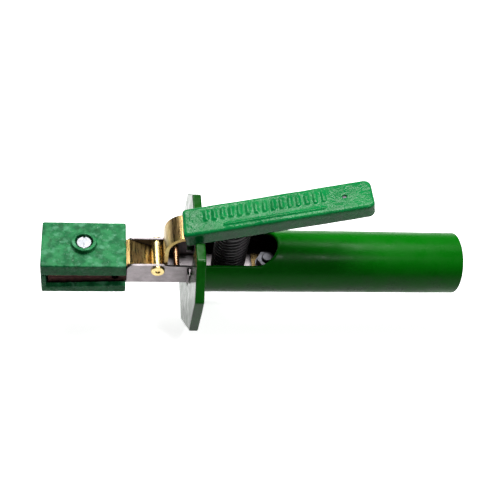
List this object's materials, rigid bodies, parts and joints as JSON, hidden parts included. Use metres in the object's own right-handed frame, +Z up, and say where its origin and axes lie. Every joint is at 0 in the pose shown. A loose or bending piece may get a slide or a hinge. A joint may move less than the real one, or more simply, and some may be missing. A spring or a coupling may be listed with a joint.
{
  "type": "welding electrode holder",
  "caption": "Lever-operated welding electrode holder: sprung copper jaws in insulated blocks, square guard plate, tubular handle with a cable socket inside.",
  "frame": {"origin": "middle of the cross groove in which the jaws grip the rod, on the handle tube's axis", "axes": "+X towards the rear of the handle, +Y across the jaws, +Z up towards the lever"},
  "size_m": [0.2406, 0.0802, 0.1005],
  "materials": {
    "tube_plastic": "glossy green moulded tube",
    "guard_plastic": "glossy green moulded plate",
    "grip_plastic": "glossy bright green moulding",
    "head_fibre": "mottled green fibre moulding with light scuffs",
    "zinc_steel": "grey zinc-plated sheet steel",
    "gold_steel": "yellow-passivated spring steel strip",
    "pin_brass": "yellow plated rivet",
    "pin_copper": "copper-coloured pin",
    "jaw_copper": "brown cast copper alloy",
    "steel_rivets": "plain steel",
    "bright_zinc": "bright zinc-plated steel",
    "dark_pin": "dark steel",
    "spring_black": "black oiled spring wire",
    "socket_brass": "machined brass"
  },
  "bodies": {
    "frame": {"handle_tube": "tube_plastic", "guard_plate": "guard_plastic", "lower_insulator": "head_fibre", "body_channel": "zinc_steel", "pivot_pin": "pin_brass", "cross_pin": "pin_copper", "lower_jaw": "jaw_copper", "lower_jaw_rivets": "steel_rivets", "lower_insulator_screw": "bright_zinc", "lever_spring": "spring_black", "spring_seat": "zinc_steel", "handle_screw": "bright_zinc", "saddle_block": "zinc_steel", "cable_socket": "socket_brass", "socket_set_screws": "steel_rivets", "terminal_bolt": "bright_zinc", "terminal_washer": "bright_zinc", "terminal_nut": "bright_zinc"},
    "lever": {"lever_arm": "gold_steel", "lever_grip": "grip_plastic", "grip_pin": "dark_pin", "spring_stud": "zinc_steel", "upper_jaw": "jaw_copper", "upper_jaw_rivets": "steel_rivets", "upper_insulator": "head_fibre", "upper_insulator_screw": "bright_zinc"}
  },
  "joints": [
    {"name": "lever_pivot", "type": "hinge", "parent": "frame", "child": "lever", "pos_m": [0.0236, 0, 0.0034], "axis": [0, 1, 0], "range_deg": [0, 15], "stiffness_Nm_per_rad": 8, "springref_deg": -34.38, "deforming": ["lever_spring"]}
  ]
}
